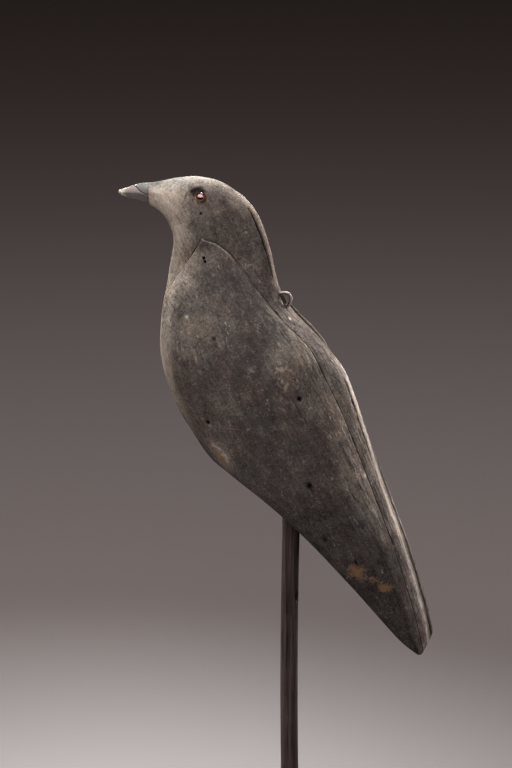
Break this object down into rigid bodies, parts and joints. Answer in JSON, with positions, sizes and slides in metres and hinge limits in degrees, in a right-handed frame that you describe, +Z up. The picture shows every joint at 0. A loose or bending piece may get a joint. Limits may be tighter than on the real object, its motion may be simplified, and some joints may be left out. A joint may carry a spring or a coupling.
{
  "type": "crow decoy",
  "caption": "Carved wooden crow decoy standing upright on a plain rod and round foot, laminated body with arched cheeks, inset bill, glass eyes and a wire loop at the nape.",
  "frame": {"origin": "centre of the foot's flat underside, on the axis of the rod", "axes": "+Z up along the rod; -X the way the bill points, +X towards the tail; -Y the bird's left side"},
  "size_m": [0.2285, 0.16, 0.5045],
  "materials": {
    "painted_wood": "old dark grey-black paint, worn to bare brown and dusty beige at the head",
    "painted_bill": "worn blue-grey paint, chipped pale at the tip",
    "dark_rod": "dark stained, streaky long grain",
    "dark_foot": "plain dark satin paint",
    "eye_glass": "polished reddish-brown glass with a black pupil",
    "iron_wire": "dull, lightly rusted iron wire"
  },
  "bodies": {
    "root": {"base": "dark_foot", "rod": "dark_rod", "centre_board": "painted_wood", "left_cheek": "painted_wood", "right_cheek": "painted_wood", "bill": "painted_bill", "left_eye": "eye_glass", "right_eye": "eye_glass", "nape_loop": "iron_wire"}
  },
  "joints": []
}
